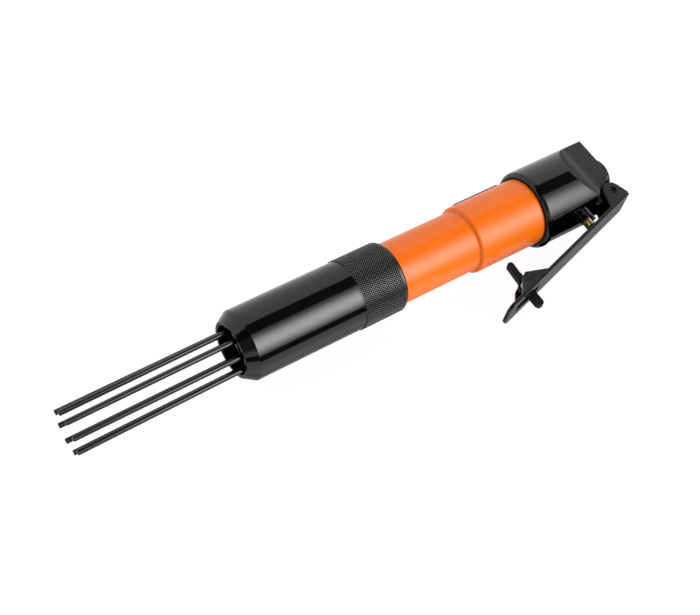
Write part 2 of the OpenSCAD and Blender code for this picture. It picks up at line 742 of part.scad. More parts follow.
// The lug that the lever's pin passes through
module hinge_lug() translate([x_hinge, -lug_w / 2, -hinge_drop]) rotate([-90, 0, 0])
    linear_extrude(height = lug_w) {
        circle(r = lug_r);
        polygon([[-lug_reach, -lug_rise], [0, -lug_rise], [lug_r, 0], [0, lug_r],
                 [-lug_reach, flat_drop - hinge_drop]]);
    }

// The bores of the throttle valve, from the plug's thread to the flat
module throttle_bores() translate([x_plunger, 0, 0]) {
    translate([0, 0, -flat_drop - guide_boss_len - through])
        cylinder(d = guide_d, h = flat_drop + guide_boss_len);
    translate([0, 0, shoulder_z]) cylinder(d = ball_seat_d, h = -shoulder_z);
    translate([0, 0, -ball_seat_drop]) cylinder(d = chamber_d, h = head_d / 2);
    translate([0, 0, plug_bottom_z]) cylinder(d = plug_d, h = head_d / 2);
    translate([x_socket - x_plunger - through, 0, feed_bore_z]) rotate([0, 90, 0])
        cylinder(d = feed_bore_d, h = x_plunger - x_socket + through, $fn = 32);
}

module throttle_plunger() color(brass) lying() translate([x_plunger, 0, 0]) difference() {
    rotate_extrude() polygon(concat(
        [[0, neck_top_z], [neck_d / 2, neck_top_z],
         [neck_d / 2, plunger_top_z], [plunger_d / 2 - neck_bevel, plunger_top_z],
         [plunger_d / 2, plunger_top_z - neck_bevel]],
        [for (i = [dome_steps:-1:0]) let(a = dome_angle * i / dome_steps)
            [dome_r * sin(a), plunger_tip_z + dome_r * (1 - cos(a))]]
    ));
    translate([0, 0, plunger_ring_z])
        ring_groove(plunger_ring_d, plunger_d, plunger_d / 2 - plunger_ring_d);
}

module plunger_o_ring() color(rubber) lying() translate([x_plunger, 0, plunger_ring_z])
    ring((plunger_d - plunger_ring_d) / 2, plunger_ring_d);

module valve_ball() color(steel) lying() translate([x_plunger, 0, ball_z]) sphere(d = ball_d);

module valve_spring() color(steel) lying() translate([x_plunger, 0, valve_spring_z])
    coil(valve_spring_d, valve_wire_d, plug_bottom_z - valve_spring_z, valve_spring_turns);

module valve_plug() color(dark_steel) lying() translate([x_plunger, 0, 0]) difference() {
    translate([0, 0, plug_bottom_z]) cylinder(d = plug_fit_d, h = plug_len);
    translate([0, 0, plug_bottom_z + plug_len - plug_hex_depth])
        cylinder(d = plug_hex / cos(30), h = plug_len, $fn = 6);
    translate([0, 0, plug_ring_z]) ring_groove(plug_ring_d, plug_d, plug_fit_d / 2 - plug_ring_d);
}

module plug_o_ring() color(rubber) lying() translate([x_plunger, 0, plug_ring_z])
    ring((plug_fit_d - plug_ring_d) / 2, plug_ring_d);

module hinge_bar() translate([x_hinge, 0, -hinge_drop]) rotate([90, 0, 0])
    cylinder(d = hinge_pin_d, h = lever_w, center = true);

module lever_pin() color(steel) lying() hinge_bar();

module lever_stop_pin() color(steel) lying() translate([x_stop, 0, stop_tip_z])
    cylinder(d = stop_pin_d, h = stop_depth - flat_drop - stop_tip_z, $fn = 32);

// The plate's side view
module lever_plate_2d() polygon([
    [-plate_rear, plate_drop], [lever_len, plate_drop],
    [lever_len, plate_outer], [-plate_rear + lever_t, plate_outer]
]);

// The plate's plan, with a rounded tip
module lever_plan_2d() {
    translate([-plate_rear, -lever_w / 2]) square([plate_rear + lever_len - tip_round, lever_w]);
    translate([-plate_rear, tip_round - lever_w / 2])
        square([plate_rear + lever_len, lever_w - 2 * tip_round]);
    for (side = [-1, 1]) translate([lever_len - tip_round, side * (lever_w / 2 - tip_round)])
        circle(r = tip_round);
}

module lever() color(black) lever_frame() difference() {
    union() {
        intersection() {
            lever_slab(-lever_w / 2, lever_w / 2) lever_plate_2d();
            rotate([-90, 0, 0]) translate([0, 0, -lever_len])
                linear_extrude(height = 2 * lever_len) lever_plan_2d();
        }
        for (side = [0, 1]) mirror([0, 0, side]) {
            lever_slab(lever_w / 2 - ear_t, lever_w / 2) polygon(concat(
                [[-plate_rear, plate_drop], [ear_foot, plate_drop]],
                [for (i = [0:ear_steps]) let(a = ear_turn - (180 + ear_turn) * i / ear_steps)
                    ear_r * [cos(a), sin(a)]]
            ));
            lever_slab(lever_w / 2 - gusset_t, lever_w / 2)
                translate([catch_reach, 0]) polygon(gusset_points);
        }
    }
    lever_slab(-lever_w, lever_w) circle(d = hinge_pin_d + 2 * slide_gap);
    lever_slab(-lever_w, lever_w) translate([catch_reach, catch_w_pos]) circle(d = catch_pin_d);
    translate([slot_rear, 0, -slot_w / 2]) cube([slot_front - slot_rear, 2 * plate_drop, slot_w]);
}

module catch_frame() lever_frame() translate([catch_reach, catch_w_pos, 0]) children();

module safety_catch() color(black) catch_frame() difference() {
    union() {
        lever_slab(-catch_w / 2, catch_t - catch_w / 2) circle(r = catch_hub_r);
        lever_slab(-catch_w / 2, catch_t - catch_w / 2)
            polygon(bar_outline([0, 0], catch_stop_end, catch_arm_r));
        lever_slab(-catch_w / 2, catch_t - catch_w / 2)
            polygon(bar_outline([0, 0], catch_tab_end, catch_tab_r));
    }
    lever_slab(-catch_w, catch_w) circle(d = catch_pin_d + 2 * slide_gap);
    lever_slab(catch_hub_side, catch_w) circle(r = spring_pocket_r + catch_wire_d);
}

module catch_pin() color(steel) catch_frame() translate([0, 0, -lever_w / 2])
    cylinder(d = catch_pin_d, h = lever_w, $fn = 48);

module catch_spring() color(steel) catch_frame() {
    echo(least_catch_spring_gap = catch_coil_pitch - catch_wire_d);
    wire(catch_spring_path, [0, 0, 1], catch_wire_d);
}

module inlet_bush() color(black) difference() {
    turned(concat(
        [[0, x_head_rear - bush_shank_len], [bush_shank_d / 2 - thread_gap, x_head_rear - bush_shank_len],
         [bush_shank_d / 2 - thread_gap, x_head_rear], [inlet_boss_d / 2, x_head_rear]],
        boss_points, [[0, 0]]
    ));
    bar_x(inlet_d, -inlet_depth, through);
    bar_x(inlet_d + 2 * thread_relief, x_strainer, -inlet_depth);
    bar_x(inlet_passage_d, x_head_rear - bush_shank_len - through, 0);
}

module inlet_strainer() color(brass) difference() {
    bar_x(inlet_d - 2 * thread_gap, x_strainer, x_strainer + strainer_len);
    for (row = [-strainer_rows:strainer_rows], col = [-strainer_rows:strainer_rows])
        if (abs(row) + abs(col) < strainer_reach)
            translate([0, row * strainer_pitch, col * strainer_pitch])
                bar_x(strainer_hole_d, x_strainer - through, 0, $fn = 24);
}

front_housing();
housing_o_ring();
needle_holder();
needle_spring();
anvil();
anvil_bush();
barrel();
exhaust_cover();
exhaust_felt();
cover_screws();
piston();
valve_seat();
valve_disc();
valve_cage();
valve_dowel();
valve_o_ring();
head();
throttle_plunger();
plunger_o_ring();
valve_ball();
valve_spring();
valve_plug();
plug_o_ring();
lever();
lever_pin();
lever_stop_pin();
safety_catch();
catch_pin();
catch_spring();
inlet_bush();
inlet_strainer();
for (i = [1:needle_count]) needle(i - 1);
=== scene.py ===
"""Looks of the needle scaler: its visible pieces, finishes, camera and studio."""

import json
import math

import bmesh
import bpy
from mathutils import Matrix, Vector


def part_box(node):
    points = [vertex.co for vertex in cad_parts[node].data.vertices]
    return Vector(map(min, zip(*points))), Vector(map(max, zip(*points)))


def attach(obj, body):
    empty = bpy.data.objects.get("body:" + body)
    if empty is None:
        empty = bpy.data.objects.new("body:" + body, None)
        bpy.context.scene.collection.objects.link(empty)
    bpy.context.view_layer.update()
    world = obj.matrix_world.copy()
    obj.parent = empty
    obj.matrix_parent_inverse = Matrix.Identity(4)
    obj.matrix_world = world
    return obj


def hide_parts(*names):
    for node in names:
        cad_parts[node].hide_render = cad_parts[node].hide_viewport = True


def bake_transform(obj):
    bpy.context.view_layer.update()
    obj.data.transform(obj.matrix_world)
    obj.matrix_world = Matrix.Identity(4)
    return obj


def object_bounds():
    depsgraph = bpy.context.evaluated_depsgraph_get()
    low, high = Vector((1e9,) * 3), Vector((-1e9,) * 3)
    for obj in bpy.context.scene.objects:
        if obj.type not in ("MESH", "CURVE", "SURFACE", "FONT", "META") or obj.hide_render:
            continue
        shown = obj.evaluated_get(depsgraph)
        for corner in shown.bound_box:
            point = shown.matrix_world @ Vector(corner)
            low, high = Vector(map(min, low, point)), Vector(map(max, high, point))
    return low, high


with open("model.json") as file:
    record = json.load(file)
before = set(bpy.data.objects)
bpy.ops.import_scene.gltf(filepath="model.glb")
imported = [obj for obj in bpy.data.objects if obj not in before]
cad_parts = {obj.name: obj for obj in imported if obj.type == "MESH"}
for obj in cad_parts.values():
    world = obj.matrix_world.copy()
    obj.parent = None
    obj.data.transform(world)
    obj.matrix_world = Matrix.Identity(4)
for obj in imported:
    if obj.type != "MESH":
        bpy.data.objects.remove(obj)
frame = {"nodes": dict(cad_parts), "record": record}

bl_info = {
    "name": "Needle scaler",
    "version": (1, 0, 0),
    "blender": (4, 5, 0),
    "location": "View3D > Sidebar > Needle scaler",
    "description": "Models the pieces of an air needle scaler round its packed frame",
    "category": "Object",
}

NODES = frame["nodes"]
CAD_BOX = [list(corner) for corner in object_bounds()]
MM = 0.001
NEEDLES = sorted(name for name in NODES if name.removeprefix("needle_").isdigit())

SAME_POINT = 0.002 * MM
ROUND_STEPS, BORE_STEPS, HOLE_STEPS = 160, 64, 48


def moved(x, y, z):
    """A shift."""
    return Matrix.Translation(Vector((x, y, z)))


def rotated(degrees, axis):
    """A turn about an axis through the origin."""
    return Matrix.Rotation(math.radians(degrees), 4, axis)


# Places on the tool, in millimetres, as the part's source gives them
NOSE_X, GRIP_REAR_X = (corner.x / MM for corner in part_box("front_housing"))
SPRING_SEAT_X = NOSE_X + 7.7
BARREL_FRONT_X, BARREL_REAR_X = (corner.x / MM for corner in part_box("barrel"))
HEAD_FRONT_X, HEAD_REAR_X = BARREL_REAR_X - 12.0, -5.0
HEAD_R, FLAT_DROP = 23.5, 19.6
PLUNGER_X = -29.4
STOP_X = PLUNGER_X + 5.0
HINGE_X, HINGE_DROP, LEVER_OPEN = -7.5, 16.8, 15.2
HINGE_PIN_R, HINGE_PIN_HALF, THROUGH = 2.0, 7.4, 30
CATCH_REACH, CATCH_W = 87.3, 3.0
LYING = rotated(-74, "X")
SIDEWAYS = rotated(90, "X")
LEVER_FRAME = (
    LYING @ moved(HINGE_X, 0, -HINGE_DROP) @ rotated(-LEVER_OPEN, "Y") @ rotated(180, "Z") @ rotated(-90, "X")
)
CATCH_FRAME = LEVER_FRAME @ moved(CATCH_REACH, CATCH_W, 0)


# Shader maths


class Value:
    """A number in a node tree, which takes part in plain arithmetic."""

    def __init__(self, finish, socket):
        self.finish, self.socket = finish, socket

    def _math(self, operation, first, second):
        return self.finish.node("ShaderNodeMath", {"operation": operation}, {0: first, 1: second})

    def __add__(self, other):
        return self._math("ADD", self, other)

    __radd__ = __add__

    def __rsub__(self, other):
        return self._math("SUBTRACT", other, self)

    def __mul__(self, other):
        return self._math("MULTIPLY", self, other)

    __rmul__ = __mul__


class Finish:
    """A node tree that is being written."""

    def __init__(self, tree):
        self.tree = tree

    def node(self, kind, settings=None, inputs=None, output=0):
        """Adds a node, with its settings first and then its inputs, and gives one of its outputs."""
        node = self.tree.nodes.new(kind)
        for key, setting in (settings or {}).items():
            setattr(node, key, setting)
        for key, value in (inputs or {}).items():
            if isinstance(value, Value):
                self.tree.links.new(value.socket, node.inputs[key])
            else:
                node.inputs[key].default_value = value
        return Value(self, node.outputs[output])

    def place(self, stretch=(1, 1, 1)):
        """Object coordinates in metres, stretched along the tool where a pattern runs with it."""
        at = self.node("ShaderNodeTexCoord", output="Object")
        return self.node("ShaderNodeMapping", {"vector_type": "TEXTURE"}, {"Vector": at, "Scale": stretch})

    def around(self):
        """Distance from the tool's axis in metres."""
        return self.vector("LENGTH", self.vector("MULTIPLY", self.place(), (0, 1, 1)), output="Value")

    def noise(self, size, detail=3.0, stretch=(1, 1, 1)):
        """Cloudy noise whose patches are about size metres wide."""
        inputs = {"Vector": self.place(stretch), "Scale": 1 / size, "Detail": detail}
        return self.node("ShaderNodeTexNoise", None, inputs, "Fac")

    def ramp(self, value, low, high, start=0.0, end=1.0, kind="SMOOTHSTEP"):
        """The value, taken from low..high to start..end."""
        inputs = {0: value, 1: low, 2: high, 3: start, 4: end}
        return self.node("ShaderNodeMapRange", {"interpolation_type": kind}, inputs)

    def tint(self, mask, first, second):
        """First colour where the mask is 0, second where it is 1."""
        inputs = {0: mask, 6: (*first, 1), 7: (*second, 1)}
        return self.node("ShaderNodeMix", {"data_type": "RGBA"}, inputs, 2)

    def bump(self, height, depth):
        """A normal from a height of 0..1, which stands depth metres high."""
        return self.node("ShaderNodeBump", None, {"Height": height, "Distance": depth, "Strength": 1.0})

    def varied(self, size, detail, low, high, stretch=(1, 1, 1)):
        """A number that drifts between low and high, in patches about size metres wide."""
        return self.ramp(self.noise(size, detail, stretch), 0.3, 0.7, low, high)

    def mottled(self, size, detail, first, second, edges=(0.35, 0.65), stretch=(1, 1, 1)):
        """Two colours in patches about size metres wide."""
        return self.tint(self.ramp(self.noise(size, detail, stretch), *edges), first, second)

    def grained(self, size, detail, depth, stretch=(1, 1, 1)):
        """A normal with grains about size metres wide, which stand depth metres high."""
        return self.bump(self.noise(size, detail, stretch), depth)

    def vector(self, operation, *inputs, output=0):
        """A step of vector maths."""
        return self.node("ShaderNodeVectorMath", {"operation": operation}, dict(enumerate(inputs)), output)


def surface(name, colour, roughness, metallic=0.0, normal=None, **constants):
    """A material: colour and roughness are functions of its Finish, or plain numbers."""
    material = bpy.data.materials.new(name)
    material.use_nodes = True
    finish = Finish(material.node_tree)
    shader = material.node_tree.nodes["Principled BSDF"]
    for socket, made in (("Base Color", colour), ("Roughness", roughness), ("Normal", normal)):
        if made is None:
            continue
        value = made(finish) if callable(made) else made
        if isinstance(value, Value):
            finish.tree.links.new(value.socket, shader.inputs[socket])
        else:
            shader.inputs[socket].default_value = (*value, 1) if socket == "Base Color" else value
    shader.inputs["Metallic"].default_value = metallic
    for socket, number in constants.items():
        shader.inputs[socket.replace("_", " ").title().replace("Ior", "IOR")].default_value = number
    return material


def finishes(paint):
    """Makes all materials of the tool."""
    black, orange, gloss = tuple(paint.enamel), tuple(paint.barrel_paint), paint.enamel_roughness
    dark = tuple(0.6 * part for part in black)
    light = tuple(1.5 * part for part in black)
    deep = tuple(0.86 * part for part in orange)
    # Knurl tone by distance from the axis: valleys dark as painted shade, tops light grey as worn steel and
    # painted glint.
    knurl_shade, knurl_top, knurl_wear_and_glint = 0.02032, 0.0205, (0.1, 0.1, 0.102)
    return [
        surface(
            "gloss_black",
            lambda f: f.mottled(0.02, 3.0, dark, black),
            lambda f: f.varied(0.006, 5.0, 0.8 * gloss, 1.25 * gloss),
            normal=lambda f: f.grained(0.0016, 1.0, 0.000006),
        ),
        surface(
            "knurl_black",
            # Painted shade in the knurl's valleys, and painted glint with some wear on its tops.
            lambda f: f.tint(f.ramp(f.around(), knurl_shade, knurl_top), dark, knurl_wear_and_glint),
            lambda f: f.varied(0.002, 4.0, 0.1, 0.18),
        ),
        surface(
            "orange_paint",
            lambda f: f.mottled(0.00035, 2.0, deep, orange, (0.4, 0.62)),
            lambda f: f.varied(0.012, 4.0, 0.26, 0.34),
            normal=lambda f: f.grained(0.0005, 2.0, 0.000006),
            specular_ior_level=0.36,
        ),
        surface(
            "lever_black",
            lambda f: f.mottled(0.01, 3.0, dark, light),
            lambda f: f.varied(0.003, 5.0, 0.24, 0.36),
            normal=lambda f: f.grained(0.0007, 3.0, 0.000012),
            coat_weight=0.2,
            coat_roughness=0.15,
        ),
        surface(
            "catch_black",
            lambda f: f.mottled(0.002, 4.0, dark, black),
            lambda f: f.varied(0.0015, 5.0, 0.34, 0.5),
            normal=lambda f: f.grained(0.0008, 3.0, 0.00005),
            specular_ior_level=0.3,
        ),
        surface(
            "needle_steel",
            lambda f: f.mottled(
                0.0012, 5.0, (0.004, 0.004, 0.0044), (0.014, 0.014, 0.015), (0.35, 0.7), (30, 1, 1)),
            lambda f: f.varied(0.0005, 3.0, 0.1, 0.18, (60, 1, 1)),
            normal=lambda f: f.grained(0.0003, 2.0, 0.000006, (80, 1, 1)),
        ),
        surface(
            "bright_steel",
            lambda f: f.mottled(0.003, 4.0, (0.46, 0.47, 0.48), (0.62, 0.63, 0.64), (0.3, 0.7)),
            lambda f: f.varied(0.0004, 4.0, 0.16, 0.3),
            metallic=1.0,
            normal=lambda f: f.grained(0.0003, 2.0, 0.000004),
        ),
        surface(
            "dark_steel",
            lambda f: f.mottled(0.002, 4.0, (0.02, 0.02, 0.022), (0.06, 0.06, 0.064), (0.3, 0.7)),
            lambda f: f.varied(0.0008, 4.0, 0.3, 0.45),
            metallic=0.7,
            normal=lambda f: f.grained(0.0005, 2.0, 0.00001),
        ),
        surface(
            "brass",
            lambda f: f.mottled(0.0015, 4.0, (0.9, 0.62, 0.23), (1.0, 0.8, 0.42), (0.3, 0.7)),
            lambda f: f.varied(0.0004, 4.0, 0.14, 0.24),
            metallic=1.0,
            normal=lambda f: f.grained(0.00025, 2.0, 0.000004),
        ),
        surface(
            "bronze",
            lambda f: f.mottled(0.0006, 4.0, (0.3, 0.15, 0.06), (0.5, 0.28, 0.12)),
            lambda f: f.varied(0.0005, 4.0, 0.35, 0.5),
            metallic=1.0,
            normal=lambda f: f.grained(0.0003, 3.0, 0.00002),
        ),
        surface(
            "rubber",
            lambda f: f.mottled(0.001, 4.0, (0.009, 0.009, 0.01), (0.018, 0.018, 0.018), (0.3, 0.7)),
            lambda f: f.varied(0.0006, 3.0, 0.5, 0.65),
            normal=lambda f: f.grained(0.0002, 2.0, 0.000008),
        ),
        surface(
            "felt",
            lambda f: f.mottled(0.0004, 6.0, (0.09, 0.09, 0.085), (0.22, 0.22, 0.2)),
            0.95,
            normal=lambda f: f.grained(0.0003, 6.0, 0.0002),
        ),
    ]


def finish_named(name):
    """The material of that name, made with the others when it is first asked for."""
    if name not in bpy.data.materials or not bpy.data.materials[name].get("scaler_finish"):
        for node in NODES.values():
            for slot in node.material_slots:
                slot.material = None
        for spare in list(bpy.data.materials):
            bpy.data.materials.remove(spare)
        for material in finishes(bpy.context.scene.scaler_paint):
            material["scaler_finish"] = True
    return bpy.data.materials[name]


# Modelling


def select_only(obj):
    """Leaves object mode with obj selected alone and active."""
    if bpy.context.object and bpy.context.object.mode != "OBJECT":
        bpy.ops.object.mode_set(mode="OBJECT")
    bpy.ops.object.select_all(action="DESELECT")
    if obj:
        obj.select_set(True)
        bpy.context.view_layer.objects.active = obj


def pick(obj, vert=None, edge=None, face=None):
    """In edit mode, selects only the vertices, edges or faces that the test says yes to."""
    bpy.ops.mesh.select_all(action="DESELECT")
    kind, test = next((k, t) for k, t in (("VERT", vert), ("EDGE", edge), ("FACE", face)) if t)
    bpy.ops.mesh.select_mode(type=kind)
    shape = bmesh.from_edit_mesh(obj.data)
    for element in {"VERT": shape.verts, "EDGE": shape.edges, "FACE": shape.faces}[kind]:
        element.select_set(bool(test(element)))
    shape.select_flush_mode()
    bmesh.update_edit_mesh(obj.data)


def apply_modifier(obj, kind, **settings):
    """Adds a modifier with these settings and applies it."""
    select_only(obj)
    modifier = obj.modifiers.new(kind.title(), kind)
    for key, setting in settings.items():
        setattr(modifier, key, setting)
    bpy.ops.object.modifier_apply(modifier=modifier.name)


def smooth(obj, degrees):
    """Smooth shading, apart from edges sharper than this."""
    select_only(obj)
    bpy.ops.object.shade_smooth_by_angle(angle=math.radians(degrees))


def settle(obj, name, body, finish, slot, *nodes, degrees=30):
    """Names the piece, gives it its finish and its body, and lets it stand for CAD nodes."""
    obj.name = obj.data.name = name
    smooth(obj, degrees)
    apply_modifier(obj, "WEIGHTED_NORMAL", keep_sharp=True)
    obj.data.materials.clear()
    obj.data.materials.append(finish_named(finish))
    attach(obj, body)
    if nodes:
        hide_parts(*nodes)


def rounded(corners, steps=4):
    """A line through corners of (x, y, rounding), with an arc in each rounded corner."""
    line = []
    for i, (x, y, bend) in enumerate(corners):
        here = Vector((x, y))
        if not bend:
            line.append(here)
            continue
        back = (Vector(corners[i - 1][:2]) - here).normalized()
        ahead = (Vector(corners[(i + 1) % len(corners)][:2]) - here).normalized()
        half = back.angle(ahead) / 2
        centre = here + (back + ahead).normalized() * bend / math.sin(half)
        start = here + back * bend / math.tan(half) - centre
        turn = start.angle_signed(here + ahead * bend / math.tan(half) - centre)
        for k in range(steps + 1):
            line.append(centre + Matrix.Rotation(-turn * k / steps, 2) @ start)
    return line


def traced(points):
    """A new piece in edit mode, all selected: a loop of edges through these points in metres."""
    select_only(None)
    bpy.ops.mesh.primitive_plane_add(size=MM)
    obj = bpy.context.object
    bpy.ops.object.mode_set(mode="EDIT")
    corner = obj.data.vertices[0].co.copy()
    pick(obj, vert=lambda v: v.index > 0)
    bpy.ops.mesh.delete(type="VERT")
    bpy.ops.mesh.select_all(action="SELECT")
    bpy.ops.transform.translate(value=points[0] - corner)
    for before, after in zip(points, points[1:] + points[:1]):
        bpy.ops.mesh.extrude_region_move(TRANSFORM_OT_translate={"value": after - before})
    bpy.ops.mesh.select_all(action="SELECT")
    return obj


def turned(outline, steps=ROUND_STEPS):
    """A piece turned on a lathe: a closed outline of (station, radius), spun about the tool's axis."""
    obj = traced([Vector((x, 0, r)) * MM for x, r in outline])
    bpy.ops.mesh.spin(steps=steps, angle=2 * math.pi, center=(0, 0, 0), axis=(1, 0, 0))
    bpy.ops.mesh.select_all(action="SELECT")
    bpy.ops.mesh.remove_doubles(threshold=SAME_POINT)
    bpy.ops.mesh.normals_make_consistent(inside=False)
    bpy.ops.object.mode_set(mode="OBJECT")
    return obj


def slab(outline, depth, place):
    """A plate with a closed outline of (x, y), depth thick along Z, put in its place. Millimetres."""
    obj = traced([Vector((x, y, 0)) * MM for x, y in outline])
    bpy.ops.mesh.remove_doubles(threshold=SAME_POINT)
    bpy.ops.mesh.edge_face_add()
    bpy.ops.mesh.extrude_region_move(TRANSFORM_OT_translate={"value": (0, 0, depth * MM)})
    bpy.ops.mesh.select_all(action="SELECT")
    bpy.ops.mesh.normals_make_consistent(inside=False)
    bpy.ops.object.mode_set(mode="OBJECT")
    obj.matrix_world = Matrix.Scale(MM, 4) @ place @ Matrix.Scale(1 / MM, 4)
    bpy.ops.object.transform_apply()
    return obj


def ring_of(x, y, radius, count=HOLE_STEPS):
    """Points on a circle."""
    angles = (2 * math.pi * i / count for i in range(count))
    return [(x + radius * math.cos(a), y + radius * math.sin(a)) for a in angles]


def softened(node, width, limit=25, segments=2):
    """A copy of a CAD node whose sharp edges are rounded by width millimetres."""
    obj = bpy.data.objects.new(node + "_soft", NODES[node].data.copy())
    bpy.context.scene.collection.objects.link(obj)
    select_only(obj)
    bpy.ops.mesh.customdata_custom_splitnormals_clear()
    bpy.ops.object.mode_set(mode="EDIT")
    bpy.ops.mesh.select_all(action="SELECT")
    bpy.ops.mesh.remove_doubles(threshold=0.01 * MM)
    bpy.ops.mesh.dissolve_limited(angle_limit=math.radians(0.6))
    bpy.ops.object.mode_set(mode="OBJECT")
    bevelled(obj, width, limit, segments, clamp=True)
    return obj


def combine(obj, operation, *others):
    """Cuts other pieces out of a piece, or joins them to it, and removes them."""
    for other in others:
        apply_modifier(obj, "BOOLEAN", operation=operation, object=other, solver="EXACT")
        bpy.data.objects.remove(other)


def bevelled(obj, width, limit, segments=3, clamp=False):
    """Rounds the edges of a piece that are sharper than limit degrees by width millimetres."""
    apply_modifier(
        obj, "BEVEL", width=width * MM, segments=segments, limit_method="ANGLE",
        angle_limit=math.radians(limit), miter_outer="MITER_ARC", use_clamp_overlap=clamp,
    )


def wound(path, diameter, sides=4):
    """Round wire along a path of points in metres."""
    select_only(None)
    bpy.ops.curve.primitive_nurbs_path_add()
    obj = bpy.context.object
    curve = obj.data
    curve.splines.clear()
    spline = curve.splines.new("POLY")
    spline.points.add(len(path) - 1)
    for point, at in zip(spline.points, path):
        point.co = (*at, 1)
    curve.dimensions, curve.bevel_depth, curve.bevel_resolution = "3D", diameter / 2, sides
    curve.use_fill_caps = True
    bpy.ops.object.convert(target="MESH")
    return bpy.context.object


def coil(diameter, wire, room, turns, place, per_turn=40, end_gap=0.5, seat=0.1):
    """A compression spring's path along Z, with close end turns, put in its place. Sizes in millimetres."""
    height, close = room - wire - 2 * seat, wire + end_gap
    pitch = (height - 2 * close) / (turns - 2)
    path = []
    for i in range(turns * per_turn + 1):
        turn = i / per_turn
        ends, middle = min(turn, 1) + max(turn - turns + 1, 0), max(min(turn, turns - 1) - 1, 0)
        rise = ends * close + middle * pitch
        angle = 2 * math.pi * turn
        across, up = diameter / 2 * math.cos(angle), diameter / 2 * math.sin(angle)
        path.append(place @ Vector((across, up, wire / 2 + seat + rise)) * MM)
    return path


# Sizes and colours that a user may change

SENSOR_W, FOCAL_PX, PHOTO_W = 36, 1240, 700


class ScalerPaint(bpy.types.PropertyGroup):
    """Colours of the paint."""

    enamel: bpy.props.FloatVectorProperty(
        name="Enamel", description="Black enamel of the nozzle and head", subtype="COLOR",
        default=(0.0022, 0.0022, 0.0024), min=0, max=1)
    enamel_roughness: bpy.props.FloatProperty(
        name="Enamel roughness", description="Roughness of the black enamel", subtype="FACTOR",
        default=0.08, min=0, max=1)
    barrel_paint: bpy.props.FloatVectorProperty(
        name="Barrel paint", description="Metallic paint of the barrel", subtype="COLOR",
        default=(0.9, 0.16, 0.003), min=0, max=1)


class ScalerSizes(bpy.types.PropertyGroup):
    """Sizes of the finer shapes."""

    knurl_count: bpy.props.IntProperty(
        name="Knurls", description="Diamonds of the knurl round the grip", default=92, min=40, max=200)
    knurl_rows: bpy.props.IntProperty(
        name="Knurl rows", description="Rows of diamonds along the grip", default=16, min=6, max=40)
    knurl_height: bpy.props.FloatProperty(
        name="Knurl height", description="Height of a diamond", unit="LENGTH", default=0.4 * MM, min=0)
    lever_edge: bpy.props.FloatProperty(
        name="Lever edge", description="Rounding of the lever's edges, in millimetres",
        default=0.45, min=0.05)


class ScalerStage(bpy.types.PropertyGroup):
    """Camera and light."""

    camera_place: bpy.props.FloatVectorProperty(
        name="Camera", description="Place of the camera", subtype="TRANSLATION", unit="LENGTH",
        default=(-0.45792, -0.40662, 0.45757))
    camera_turn: bpy.props.FloatVectorProperty(
        name="Camera turn", description="Elevation, roll and azimuth of the camera",
        subtype="EULER", unit="ROTATION",
        default=(math.radians(43.59), math.radians(-0.67), math.radians(34.16)))
    lens: bpy.props.FloatProperty(
        name="Lens", description="Focal length in millimetres on a 36 mm sensor",
        default=SENSOR_W * FOCAL_PX / PHOTO_W, min=10)
    softbox: bpy.props.FloatProperty(
        name="Softbox", description="Brightness of the front softbox", default=7.5, min=0)
    walls: bpy.props.FloatProperty(
        name="Walls", description="Brightness of the white walls", default=1.0, min=0)
    fill: bpy.props.FloatProperty(
        name="Fill", description="Share of light that only matt surfaces get", subtype="FACTOR",
        default=0.28, min=0)
    floor_colour: bpy.props.FloatVectorProperty(
        name="Floor", description="Colour of the floor", subtype="COLOR",
        default=(0.08, 0.08, 0.08), min=0, max=1)
    floor_glow: bpy.props.FloatProperty(
        name="Floor glow", description="Light that the floor gives of its own", default=0.95, min=0)


# Pieces


